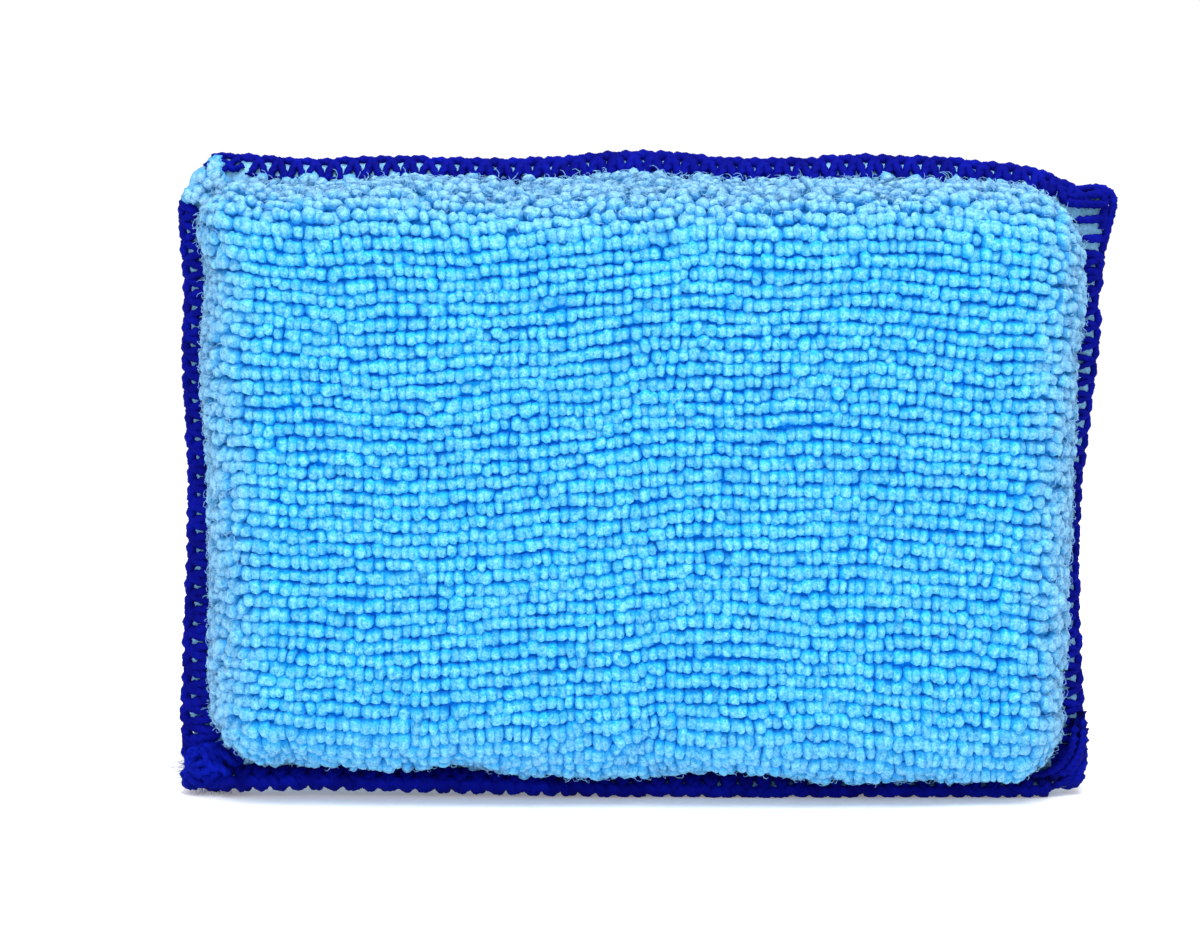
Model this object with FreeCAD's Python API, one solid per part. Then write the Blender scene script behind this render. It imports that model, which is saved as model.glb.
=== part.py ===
"""Microfibre polishing pad: a foam block in two sewn terry covers, standing on one long side.

Millimetres. +X runs along the pad's length, +Y from the working face to the back, +Z up.
The origin is on the surface the pad stands on, under the middle of the pad.

The two covers meet half way through the thickness, where their edges are pressed together as a
seam that stands out all round. Four separate overlock seams bind that edge, one a side. Each has
a needle thread and two looper threads, and each ends in a thread tail at a corner. The lower seam
is folded forward under the pad, and the two lower tails are the feet that the pad stands on.
"""

import FreeCAD, Part

import math
import os
from collections import namedtuple

from FreeCAD import Placement, Rotation, Vector

# ---- Driving dimensions ----------------------------------------------------------------------

body_length = 123.0  # covered foam body, along X
body_height = 81.8  # along Z
body_thickness = 27.0  # along Y, flat face to flat face
corner_round = 9.0  # the body's four corners, seen from the front
face_round = 8.5  # from a flat face into the sides
crease_round = 1.2  # where a cover turns in to the seam

cover_wall = 2.6  # terry cloth with its pile
seam_layer = 1.1  # the same cloth pressed flat in the seam
seam_width = 2.6  # needle line to cut edge
ear_round = 3.0  # the seam's two upper corners
fold_round = 0.9  # outside of the fold in the lower seam

stitch_length = 2.6
looper_radius = 0.25
needle_thread_radius = 0.18
needle_hole_radius = 0.55
needle_leg_gap = 0.6  # between the two legs of the needle thread in one hole
loop_mouth = 0.7  # between the two legs of a looper thread at the edge
loop_foot = 0.6  # width of a looper thread's turn at the needle line
needle_bend = 0.28

tail_radius = 0.8  # a thread tail at an upper corner
tail_leg = 5.0  # how far it lies along each face of the seam
left_foot_length = 10.0  # the wound tail at the lower left corner
left_foot_height = 8.0
right_foot_length = 8.0
right_foot_height = 5.6
foot_depth = 11.0  # both feet, along Y
foot_round = 1.5  # along a foot's upper edges
foot_reach = 3.2  # how far a foot stands out past the body's side

# ---- Clearances ------------------------------------------------------------------------------

thread_clear = 0.02  # between a thread and the cloth it lies on
purl_clear = 0.05  # between the two looper threads where they meet at the edge
needle_gap = 0.6  # from the body to the needle line
body_clear = 0.3  # between the folded seam and the body over it
stance = 0.6  # gap under the lower seam, between the feet
foot_clear = 0.1  # between a foot and what it lies beside
run_end_gap = 3.5  # from the body's side to the first stitch of a run

# ---- Places worked out from those ------------------------------------------------------------

looper_bend = looper_radius + thread_clear  # a loop turns round the corner of the cut edge
tail_bend = tail_radius + thread_clear

seam_half = seam_layer + thread_clear + 2 * looper_radius  # middle of the seam to its outside
lower_seam_z = stance + seam_half
body_bottom = lower_seam_z + seam_half + body_clear
body_top = body_bottom + body_height
body_middle = (body_bottom + body_top) / 2
half_length = body_length / 2
half_thickness = body_thickness / 2

needle_x = half_length + needle_gap
needle_z = body_top + needle_gap
lower_needle_y = -(seam_layer + needle_gap)
edge_x = needle_x + seam_width
edge_z = needle_z + seam_width
lower_edge_y = lower_needle_y - seam_width
seam_root = 0.7 * cover_wall  # how deep the seam's plate starts inside the cover's wall

left_foot_x = -(half_length + foot_reach)
right_foot_x = half_length + foot_reach
lower_run_left = left_foot_x + left_foot_length + foot_clear
lower_run_right = right_foot_x - right_foot_length - foot_clear

TINY = 1e-6
X, Y, Z = Vector(1, 0, 0), Vector(0, 1, 0), Vector(0, 0, 1)

# ---- Shapes used more than once --------------------------------------------------------------


def box(low, high):
    """A box from its lowest and highest corners."""
    low, high = Vector(*low), Vector(*high)
    size = high - low
    return Part.makeBox(size.x, size.y, size.z, low)


def edges_along(shape, direction):
    """The shape's straight edges that run along a direction."""
    return [
        e
        for e in shape.Edges
        if isinstance(e.Curve, Part.Line) and abs(e.Curve.Direction.dot(direction)) > 0.999
    ]


def edges_in_plane_y(shape, y):
    """The shape's edges that lie in the plane at that y."""
    return [
        e
        for e in shape.Edges
        if e.BoundBox.YLength < TINY and abs(e.BoundBox.YMin - y) < TINY
    ]


def body_prism(inset, thickness):
    """The body's outline from the front, made smaller by inset, as a block of that thickness."""
    side, end = half_length - inset, thickness / 2
    block = box((-side, -end, body_bottom + inset), (side, end, body_top - inset))
    return block.makeFillet(corner_round - inset, edges_along(block, Y))


def rounded_body(inset):
    """The body with its flat faces rounded into its sides, made smaller all round by inset."""
    block = body_prism(inset, body_thickness - 2 * inset)
    end = half_thickness - inset
    rims = edges_in_plane_y(block, -end) + edges_in_plane_y(block, end)
    return block.makeFillet(face_round - inset, rims)


def rounded_path(points, bend):
    """A wire along straight runs between the points, with an arc of radius bend at each corner."""
    edges = []
    here = points[0]
    for before, corner, after in zip(points, points[1:], points[2:]):
        arrive = (corner - before).normalize()
        leave = (after - corner).normalize()
        half_turn = arrive.getAngle(leave) / 2
        reach = bend * math.tan(half_turn)
        inward = (leave - arrive).normalize()
        start = corner - arrive * reach
        middle = corner + inward * (bend / math.cos(half_turn) - bend)
        end = corner + leave * reach
        edges += [Part.LineSegment(here, start).toShape(), Part.Arc(start, middle, end).toShape()]
        here = end
    edges.append(Part.LineSegment(here, points[-1]).toShape())
    return Part.Wire(edges)


def tube(path, radius, name):
    """A round thread along a wire. Prints its volume against its section times its length."""
    first = path.Edges[0]
    start, along = first.valueAt(first.FirstParameter), first.tangentAt(first.FirstParameter)
    ring = Part.Wire([Part.makeCircle(radius, start, along)])
    thread = path.makePipeShell([ring], True, False)
    share = thread.Volume / (math.pi * radius**2 * path.Length)
    print(f"{name}: {path.Length:.1f} mm long, volume share {share:.4f}, valid {thread.isValid()}")
    return thread


# ---- The four overlock seams -----------------------------------------------------------------

# start is the needle line's first hole. along, out and up are the run's own axes: along the seam,
# out to its cut edge, and up out of the front cover's layer.
Run = namedtuple("Run", "start along out up length")


def run_between(first, last, out):
    """The run of whole stitches centred between two points on its needle line."""
    along = (last - first).normalize()
    stitches = math.floor((last - first).Length / stitch_length)
    length = stitches * stitch_length
    start = first + along * ((last - first).Length - length) / 2
    return Run(start, along, out, along.cross(out), length)


runs = {
    "top": run_between(
        Vector(-half_length + run_end_gap, 0, needle_z),
        Vector(half_length - run_end_gap, 0, needle_z),
        Z,
    ),
    "right": run_between(
        Vector(needle_x, 0, body_top - run_end_gap),
        Vector(needle_x, 0, right_foot_height + foot_clear + stitch_length),
        X,
    ),
    "bottom": run_between(
        Vector(lower_run_right - stitch_length / 2, lower_needle_y, lower_seam_z),
        Vector(lower_run_left + stitch_length / 2, lower_needle_y, lower_seam_z),
        -Y,
    ),
    "left": run_between(
        Vector(-needle_x, 0, left_foot_height + foot_clear + stitch_length),
        Vector(-needle_x, 0, body_top - run_end_gap),
        -X,
    ),
}


def stitch_count(run):
    return round(run.length / stitch_length)


def placed(shape, run):
    """A shape made along X, out along Y and up along Z, moved to where the run is."""
    shape.Placement = Placement(run.start, Rotation(run.along, run.out, run.up, "ZXY"))
    return shape


def needle_holes(run):
    """One cylinder for each hole that the needle made through both layers."""
    tall = seam_half + looper_radius
    hole = [
        Part.makeCylinder(needle_hole_radius, 2 * tall, Vector(i * stitch_length, 0, -tall), Z)
        for i in range(stitch_count(run) + 1)
    ]
    return placed(Part.makeCompound(hole), run)


def needle_thread(name, run):
    """Lies on the front layer from hole to hole, and makes a narrow loop through each hole."""
    surface = seam_layer + thread_clear + needle_thread_radius
    leg = needle_leg_gap / 2
    points = [Vector(0, 0, -surface), Vector(leg, 0, -surface), Vector(leg, 0, surface)]
    for i in range(1, stitch_count(run)):
        hole = i * stitch_length
        points += [
            Vector(hole - leg, 0, surface),
            Vector(hole - leg, 0, -surface),
            Vector(hole + leg, 0, -surface),
            Vector(hole + leg, 0, surface),
        ]
    last = stitch_count(run) * stitch_length
    points += [
        Vector(last - leg, 0, surface),
        Vector(last - leg, 0, -surface),
        Vector(last, 0, -surface),
    ]
    return placed(tube(rounded_path(points, needle_bend), needle_thread_radius, name), run)


def looper_thread(name, run, face):
    """Zigzags on one layer, face +1 for the front and -1 for the back, from the needle line to
    the cut edge, where each loop turns over the edge to meet the other layer's looper thread."""
    surface = face * (seam_layer + thread_clear + looper_radius)
    purl = face * (purl_clear + looper_radius)
    inner = needle_thread_radius + looper_radius + thread_clear
    outer = seam_width + looper_radius + thread_clear
    foot, mouth = loop_foot / 2, loop_mouth / 2
    points = [Vector(0, inner, surface)]
    for i in range(stitch_count(run)):
        hole, middle = i * stitch_length, (i + 0.5) * stitch_length
        points += [
            Vector(hole + foot, inner, surface),
            Vector(middle - mouth, outer, surface),
            Vector(middle - mouth, outer, purl),
            Vector(middle + mouth, outer, purl),
            Vector(middle + mouth, outer, surface),
            Vector(hole + stitch_length - foot, inner, surface),
        ]
    points.append(Vector(stitch_count(run) * stitch_length, inner, surface))
    return placed(tube(rounded_path(points, looper_bend), looper_radius, name), run)


# ---- Foam core and covers --------------------------------------------------------------------


def foam_core():
    return rounded_body(cover_wall)


def upright_seam(face):
    """One layer of the seam up both sides and over the top, down to the tops of the feet."""
    near, far = sorted((0, face * seam_layer))
    plate = box((-edge_x, near, 0), (edge_x, far, edge_z))
    upper = [e for e in edges_along(plate, Y) if e.BoundBox.ZMin > body_middle]
    plate = plate.makeFillet(ear_round, upper)
    plate = plate.cut(body_prism(seam_root, body_thickness))
    left = box((-2 * edge_x, -edge_x, -1), (0, edge_x, left_foot_height + foot_clear))
    right = box((0, -edge_x, -1), (2 * edge_x, edge_x, right_foot_height + foot_clear))
    return plate.cut(left).cut(right)


def folded_seam(face):
    """One layer of the lower seam: out of the body downward, then forward under it. The front
    cover's layer is the upper one, and the back cover's goes round the outside of the fold."""
    root_z = body_bottom + seam_root
    if face < 0:
        neck = box(
            (lower_run_left, -seam_layer, lower_seam_z), (lower_run_right, 0, root_z)
        )
        flap = box(
            (lower_run_left, lower_edge_y, lower_seam_z),
            (lower_run_right, 0, lower_seam_z + seam_layer),
        )
        return neck.fuse(flap).removeSplitter()
    low = lower_seam_z - seam_layer
    neck = box((lower_run_left, 0, low), (lower_run_right, seam_layer, root_z))
    flap = box(
        (lower_run_left, lower_edge_y, low), (lower_run_right, seam_layer, lower_seam_z)
    )
    layer = neck.fuse(flap).removeSplitter()
    fold = [
        e
        for e in edges_along(layer, X)
        if abs(e.BoundBox.YMin - seam_layer) < TINY and abs(e.BoundBox.ZMin - low) < TINY
    ]
    return layer.makeFillet(fold_round, fold)


def cover(face, core):
    """One terry cover, face -1 for the front and +1 for the back: a shell over its half of the
    foam, with its layer of the seam and the needle's holes through that layer."""
    reach = body_length
    low, high = sorted((0, face * reach))
    half = rounded_body(0).common(box((-reach, low, -1), (reach, high, 2 * reach)))
    half = half.makeFillet(crease_round, edges_in_plane_y(half, 0))
    shell = half.cut(core)
    shell = shell.fuse([upright_seam(face), folded_seam(face)]).removeSplitter()
    return shell.cut([needle_holes(run) for run in runs.values()])


# ---- Thread tails ----------------------------------------------------------------------------


def upper_tail(name, side):
    """A short tail laid over the seam's upper corner, down both of its faces. side is -1 for
    left and +1 for right."""
    away = seam_layer + thread_clear + tail_radius
    inward = Vector(-side, 0, -1).normalize()
    tip = Vector(side * (edge_x - ear_round), 0, edge_z - ear_round) - inward * ear_round
    over = tip - inward * (thread_clear + tail_radius)
    inner = tip + inward * tail_leg
    points = [inner - Y * away, over - Y * away, over + Y * away, inner + Y * away]
    return tube(rounded_path(points, tail_bend), tail_radius, name)


def foot(outer_x, length, height):
    """A tail wound into a lump at a lower corner, round on top, with a flat square-edged foot,
    and hollowed to lie against the body's round corner."""
    inner_x = outer_x - math.copysign(length, outer_x)
    low_x, high_x = sorted((outer_x, inner_x))
    lump = box((low_x, -foot_depth / 2, 0), (high_x, foot_depth / 2, height))
    upper_rim = [e for e in lump.Edges if e.BoundBox.ZMin > height - TINY]
    lump = lump.makeFillet(foot_round, upper_rim)
    return lump.cut(body_prism(-foot_clear, body_thickness))


# ---- Build and write -------------------------------------------------------------------------


def build():
    """Every sub-part, by node name."""
    core = foam_core()
    nodes = {"foam_core": core, "front_cover": cover(-1, core), "back_cover": cover(1, core)}
    for side, run in runs.items():
        for kind, make in (
            ("needle_thread", needle_thread),
            ("upper_looper_thread", lambda name, run: looper_thread(name, run, 1)),
            ("lower_looper_thread", lambda name, run: looper_thread(name, run, -1)),
        ):
            name = f"{side}_{kind}"
            nodes[name] = make(name, run)
    nodes["top_left_thread_tail"] = upper_tail("top_left_thread_tail", -1)
    nodes["top_right_thread_tail"] = upper_tail("top_right_thread_tail", 1)
    nodes["bottom_left_thread_tail"] = foot(left_foot_x, left_foot_length, left_foot_height)
    nodes["bottom_right_thread_tail"] = foot(right_foot_x, right_foot_length, right_foot_height)
    return nodes


def main():
    os.makedirs("parts", exist_ok=True)
    for name, shape in build().items():
        if not shape.isValid() or len(shape.Solids) != 1:
            raise ValueError(f"{name} is not one valid solid: {len(shape.Solids)} solids")
        shape.Solids[0].exportStep(f"parts/{name}.step")
        size = shape.BoundBox
        print(f"{name}: {size.XLength:.2f} x {size.YLength:.2f} x {size.ZLength:.2f} mm")


main()
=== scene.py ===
# %% [markdown]
# # A microfibre polishing pad
#
# The pad is a block of foam inside two panels of looped terry. The panels are pressed together half way
# through the thickness, and a dark overlock seam binds their edges all round. The pad stands on one long
# side. Everything is in metres, in the same frame as the imported model. The pad's main measures are read
# from the boxes of that model's nodes. Curves and strands that are given as lists of points are in
# millimetres.

# %% Load the frame
import math

import bmesh
import bpy
import numpy as np
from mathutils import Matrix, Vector, noise


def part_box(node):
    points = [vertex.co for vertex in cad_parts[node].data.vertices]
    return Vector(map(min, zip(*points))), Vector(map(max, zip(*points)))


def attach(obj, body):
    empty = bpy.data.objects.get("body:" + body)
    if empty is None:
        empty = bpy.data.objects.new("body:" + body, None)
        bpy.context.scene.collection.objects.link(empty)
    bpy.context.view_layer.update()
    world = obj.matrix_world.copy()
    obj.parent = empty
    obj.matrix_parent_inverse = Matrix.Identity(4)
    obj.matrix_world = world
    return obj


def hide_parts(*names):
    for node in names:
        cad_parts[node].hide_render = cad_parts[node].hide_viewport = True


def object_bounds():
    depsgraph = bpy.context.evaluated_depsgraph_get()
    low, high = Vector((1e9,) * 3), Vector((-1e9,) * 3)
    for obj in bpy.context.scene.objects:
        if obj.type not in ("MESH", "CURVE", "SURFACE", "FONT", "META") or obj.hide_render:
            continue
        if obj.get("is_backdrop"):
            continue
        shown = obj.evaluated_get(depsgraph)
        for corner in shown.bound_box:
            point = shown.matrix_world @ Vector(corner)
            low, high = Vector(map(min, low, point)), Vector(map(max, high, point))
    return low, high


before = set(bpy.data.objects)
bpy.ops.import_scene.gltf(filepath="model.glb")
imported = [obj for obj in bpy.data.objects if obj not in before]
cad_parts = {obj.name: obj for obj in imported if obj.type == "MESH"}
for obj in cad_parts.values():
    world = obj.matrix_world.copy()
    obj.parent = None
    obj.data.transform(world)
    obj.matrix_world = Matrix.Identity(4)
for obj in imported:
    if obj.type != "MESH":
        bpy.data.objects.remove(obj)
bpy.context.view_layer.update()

MM = 0.001
scene = bpy.context.scene

# %% [markdown]
# ## Sizes
#
# The foam and the cover give the pad's own measures: the cover's wall is the cloth's backing with
# its pile on it. The backing is modelled where it really is, a pile's height inside the wall's
# outer face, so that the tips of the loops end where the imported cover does.

# %% Read the pad's measures from the frame
foam_low, foam_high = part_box("foam_core")
cover_low, cover_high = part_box("front_cover")
fold_low, fold_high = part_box("bottom_needle_thread")

wall = foam_low.y - cover_low.y
pile_height = 1.75 * MM
half_length = foam_high.x + wall - pile_height
half_height = (foam_high.z - foam_low.z) / 2 + wall - pile_height
middle_z = (foam_high.z + foam_low.z) / 2
depth = -cover_low.y - pile_height

face_round = 8.5 * MM - pile_height
corner_round = 9.0 * MM - pile_height
# the cut edge is nearly square at three corners and full and round at the upper left one
seam_corner_round = 2.5 * MM
full_corner_round = 7.5 * MM

seam_width = 2.6 * MM
needle_x = cover_high.x - seam_width
needle_z = cover_high.z - seam_width
layer = 0.55 * MM
fold_y = (fold_low.y + fold_high.y) / 2
fold_z = (fold_low.z + fold_high.z) / 2
print("half length", half_length, "half height", half_height, "depth", depth, "fold", fold_y, fold_z)

# %% [markdown]
# ## How the pad really lies
#
# A sewn pad is never quite square. Its long seam waves where the cloth was fed unevenly, and one
# end is narrower than the other. Each side has a short list of how far its edge strays outward
# from the straight one, read along that side and joined by a smooth curve. The whole pad is
# warped by these four curves, so that the cloth, its pile and the threads all stray together.

# %% Say how far each side strays
top_stray = [(-65, 0.3), (-59, 0.3), (-50, -0.6), (-33, -0.5), (-17, -0.9), (0, 0.0), (16, -0.9), (32, -0.4),
             (48, -1.2), (57, -2.4), (61.5, -3.9), (64, -3.3), (66, -3.6)]
bottom_stray = [(-65, -0.2), (-50, -0.6), (-30, -0.3), (0, 0.3), (35, 0.4), (65, 0.4)]
left_stray = [(0, -1.3), (12, -1.3), (29, -1.8), (45, -1.6), (62, -0.8), (72, -0.9), (81, 0.8), (90, 1.0)]
right_stray = [(0, -4.2), (12, -4.4), (29, -4.6), (45, -4.2), (62, -3.5), (70, -2.6), (78, -2.4), (90, -2.6)]
belly_sag = [(-62, -0.4), (-45, 0.2), (0, 1.5), (40, 2.2), (62, 2.0)]

# how much wider than straight the seam's border is along each upright side
left_border = [(0, 1.5), (15, 1.4), (30, 1.1), (45, 0.5), (62, 0.3), (74, 0.0), (82, -1.0), (90, -1.2)]
right_border = [(0, 1.0), (12, 0.6), (28, 0.1), (45, -0.1), (56, 0.7), (64, 0.9), (72, 0.0), (78, 0.8),
                (83, 1.8), (90, 2.1)]
# the borders lean back by these angles, in radians, and the folded foot drops as it comes forward
left_lean, right_lean, top_lean = 0.4, 0.35, 0.6
foot_tilt = -0.22
foot_height = 4.0 * MM
# the belly sags only where it stands off the mid-plane, fully so once it is this much further out
belly_from, belly_over = 3.5 * MM, 6 * MM


def smooth_curve(points, at):
    """A smooth curve through a few points, in millimetres, read at some places in metres."""
    place, height = np.array(points, float).T
    slope = np.gradient(height, place)
    at = np.clip(np.asarray(at) / MM, place[0], place[-1])
    i = np.clip(np.searchsorted(place, at) - 1, 0, len(place) - 2)
    width = place[i + 1] - place[i]
    t = (at - place[i]) / width
    rise = (
        (2 * t**3 - 3 * t**2 + 1) * height[i]
        + (t**3 - 2 * t**2 + t) * width * slope[i]
        + (3 * t**2 - 2 * t**3) * height[i + 1]
        + (t**3 - t**2) * width * slope[i + 1]
    )
    return rise * MM


def stray(points):
    """Warps points of the straight pad into the pad as it lies."""
    x, y, z = points.T
    across = np.clip(x / needle_x, -1.1, 1.1)
    up = np.clip((z - middle_z) / (needle_z - middle_z), -1.1, 1.1)
    proud = np.clip((np.abs(y) - belly_from) / belly_over, 0, 1)
    moved = points.copy()
    moved[:, 0] += smooth_curve(right_stray, z) * ((1 + across) / 2) ** 2
    moved[:, 0] -= smooth_curve(left_stray, z) * ((1 - across) / 2) ** 2
    for way, border, lean in ((1, right_border, right_lean), (-1, left_border, left_lean)):
        past = np.clip(way * x - needle_x, 0, None)
        wider = smooth_curve(border, z) * np.clip(past / seam_width, 0, 1.3)
        moved[:, 0] += way * (wider - past * (1 - math.cos(lean)))
        moved[:, 1] += past * math.sin(lean)
    past = np.clip(z - needle_z, 0, None)
    moved[:, 2] -= past * (1 - math.cos(top_lean))
    moved[:, 1] += past * math.sin(top_lean)
    under = (y < fold_y) & (z < foot_height) & (z > 0)
    moved[:, 2] += np.where(under, foot_tilt * (fold_y - y), 0)
    moved[:, 2] += smooth_curve(top_stray, x) * ((1 + up) / 2) ** 3
    moved[:, 2] -= (smooth_curve(bottom_stray, x) + smooth_curve(belly_sag, x) * proud) * ((1 - up) / 2) ** 3
    return moved


ends = np.array([[-needle_x, 0, needle_z], [needle_x, 0, needle_z]])
print("the upper corners stray by, in mm:", ((stray(ends) - ends) / MM).round(1).tolist())


# %% [markdown]
# ## One panel of cloth, flat and then wrapped
#
# A panel is cut as a flat rectangle. Wrapped over the foam, it runs from the needle line up the
# side, round into the face, across, and down the other side. The same walk is made here: a
# profile says how far out and how deep the cloth is after each millimetre of walking from the
# middle of the panel, and a flat grid is moved to where its points end up. Its rows and columns
# stay the rows and columns of the knit, so the pile can follow them later.

# %% The walk from the middle of a panel to its cut edge
crease_depth, lip_depth, edge_depth = 1.3 * MM, 0.8 * MM, 0.3 * MM
lip_reach = 1.0 * MM
fold_round = 0.9 * MM
fold_start = middle_z - (fold_z + fold_round)
fold_needle = fold_start + fold_round * math.pi / 2 + (-fold_y - fold_round)


def walk(half, needle, edge):
    """Distance walked, how far out from the middle, and the depth from the pad's mid-plane."""
    turn = np.linspace(0, math.pi / 2, 9)
    out = [0, *(half - face_round + face_round * np.sin(turn)), half, half + lip_reach, needle, edge]
    deep = [depth, *(depth - face_round * (1 - np.cos(turn))), crease_depth, lip_depth, layer, edge_depth]
    out, deep = np.array(out), np.array(deep)
    step = np.hypot(np.diff(out), np.diff(deep))
    return np.concatenate([[0], np.cumsum(step)]), out, deep


sideways = walk(half_length, needle_x, cover_high.x)
upward = walk(half_height, needle_z - middle_z, cover_high.z - middle_z)
downward = walk(half_height, fold_needle, fold_needle + seam_width)
panel_width = 2 * sideways[0][-1]
panel_height = upward[0][-1] + downward[0][-1]
print("flat panel in mm:", round(panel_width / MM, 1), "x", round(panel_height / MM, 1))


# %% [markdown]
# ## Wrapping the flat panel
#
# Each point of the flat panel is walked sideways and up or down along those profiles. Where both
# walks have gone round into a side, the two depths are joined so that the corner stays full. Then
# the corners are rounded, as the block's are, and the lower edge is turned forward under the pad.
# A formula is used instead of a sculpted shape, because the pile is laid on the panel later by the
# same flat places.

# %% Wrap a flat place over the block
def read_walk(path, walked):
    """How far out the cloth is, and how deep, after walking some way along a profile."""
    return np.interp(walked, path[0], path[1]), np.interp(walked, path[0], path[2])


def wrap(flat_x, flat_z, side):
    """Where points of the flat panel lie on the pad. side is -1 for the front, 1 for the back."""
    x, deep_x = read_walk(sideways, np.abs(flat_x))
    above, deep_above = read_walk(upward, flat_z)
    below, deep_below = read_walk(downward, -flat_z)
    rise = flat_z >= 0
    z, deep_z = np.where(rise, above, below), np.where(rise, deep_above, deep_below)
    deep_x, deep_z = deep_x / depth, deep_z / depth
    deep = depth * deep_x * deep_z / (deep_x + deep_z - deep_x * deep_z)

    # round the corners of the plan, less and less out towards the cut edge
    p = np.clip((x - (half_length - corner_round)) / corner_round, 0, None)
    q = np.clip((z - (half_height - corner_round)) / corner_round, 0, None)
    square = np.clip((np.maximum(p, q) - 1) / 0.5, 0, 1)
    pull = corner_round * (1 - 0.6 * square)
    p_body, q_body = np.minimum(p, 1), np.minimum(q, 1)
    x = x - pull * p_body * (1 - np.sqrt(1 - q_body**2 / 2))
    z = z - pull * q_body * (1 - np.sqrt(1 - p_body**2 / 2))

    # round the corners of the cut edge
    far_x, far_z = sideways[1][-1], np.where(rise, upward[1][-1], downward[1][-1])
    bend = np.where(rise & (flat_x < 0), full_corner_round, seam_corner_round)
    p, q = np.clip(x - far_x + bend, 1e-9, None), np.clip(z - far_z + bend, 1e-9, None)
    shrink = np.maximum(p, q) / np.hypot(p, q)
    x = np.where(x > far_x - bend, x - p * (1 - shrink), x)
    z = np.where(z > far_z - bend, z - q * (1 - shrink), z)

    # the lower edge turns forward under the pad
    past = np.where(rise, 0, np.clip(z - fold_start, 0, None))
    turn = np.clip(past / fold_round, 0, math.pi / 2)
    flap = np.clip(past - fold_round * math.pi / 2, 0, None)
    down = np.where(past > 0, fold_start + fold_round * np.sin(turn), z)
    forward = fold_round * (1 - np.cos(turn)) + flap
    y = -forward + side * deep * np.cos(turn)
    height = middle_z + np.where(rise, z, -down) - side * deep * np.sin(turn)
    return np.stack([np.sign(flat_x) * x, y, height], 1)


crown_rise = 1.2 * MM
crown_from, crown_over = 5 * MM, 6 * MM


def crown(points):
    """The foam presses the middle of each face out a little."""
    x, y, z = points.T
    dome = np.clip(1 - (x / half_length) ** 2, 0, 1) * np.clip(1 - ((z - middle_z) / half_height) ** 2, 0, 1)
    moved = points.copy()
    moved[:, 1] += np.sign(y) * crown_rise * dome**0.7 * np.clip((np.abs(y) - crown_from) / crown_over, 0, 1)
    return moved


corner = wrap(np.array([half_length]), np.array([half_height]), -1)[0]
print("a corner of the front face wraps to, in mm:", (corner / MM).round(1).tolist())

# %% [markdown]
# ## Cutting the two panels
#
# Both panels are cut from the same flat pattern. Each starts as a plain grid with nearly square
# cells about as big as a loop of the knit, which is fine enough to bend smoothly round the edge of the
# block, and coarse enough for the simulation that follows. The back panel's grid is turned over
# first, so that both face outward.

# %% Cut both panels as grids and wrap them
cell = 1.5 * MM
columns, rows = round(panel_width / cell), round(panel_height / cell)
middle_row = downward[0][-1]


def new_object(name, bm):
    """Makes a bmesh into a piece."""
    mesh = bpy.data.meshes.new(name)
    bm.to_mesh(mesh)
    bm.free()
    obj = bpy.data.objects.new(name, mesh)
    scene.collection.objects.link(obj)
    return obj


def vertex_places(mesh):
    """The places of a mesh's vertices, one row each."""
    flat = np.zeros(len(mesh.vertices) * 3, np.float32)
    mesh.vertices.foreach_get("co", flat)
    return flat.reshape(-1, 3).astype(float)


def put_vertices(mesh, places):
    """Moves a mesh's vertices to new places."""
    mesh.vertices.foreach_set("co", places.astype(np.float32).ravel())
    mesh.update()


def cut_panel(name, side):
    """A flat grid, wrapped over its half of the pad, and the grid's own flat places."""
    bm = bmesh.new()
    bmesh.ops.create_grid(bm, x_segments=columns, y_segments=rows, size=0.5)
    bmesh.ops.scale(bm, vec=(panel_width, panel_height, 1), verts=bm.verts)
    if side > 0:
        bmesh.ops.reverse_faces(bm, faces=bm.faces)
    panel = new_object(name, bm)
    flat = vertex_places(panel.data)
    flat[:, 1] += panel_height / 2 - middle_row
    return panel, flat


panels, flats = {}, {}
for side_name, side in (("front", -1), ("back", 1)):
    panel, flat = cut_panel(f"{side_name}_cloth", side)
    put_vertices(panel.data, stray(crown(wrap(flat[:, 0], flat[:, 1], side))))
    panels[side_name], flats[side_name] = panel, flat
    middle_face = panel.data.polygons[len(panel.data.polygons) // 2]
    print(panel.name, "has", len(panel.data.vertices), "vertices, facing", middle_face.normal)

# %% [markdown]
# ## Let the foam fill the cloth
#
# The foam pushes the cloth out until it is tight, and where there is a little too much cloth it
# puckers beside the seam. That is what a cloth simulation with pressure inside does. The cut edge
# is held where the seam holds it, the cloth is let grow by a few hundredths, and no point may end
# up further from its start than the foam could push it.

# %% Simulate the panels
most_move = 1.1 * MM
held_border = 1.2 * MM
settle_frames = 20


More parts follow.
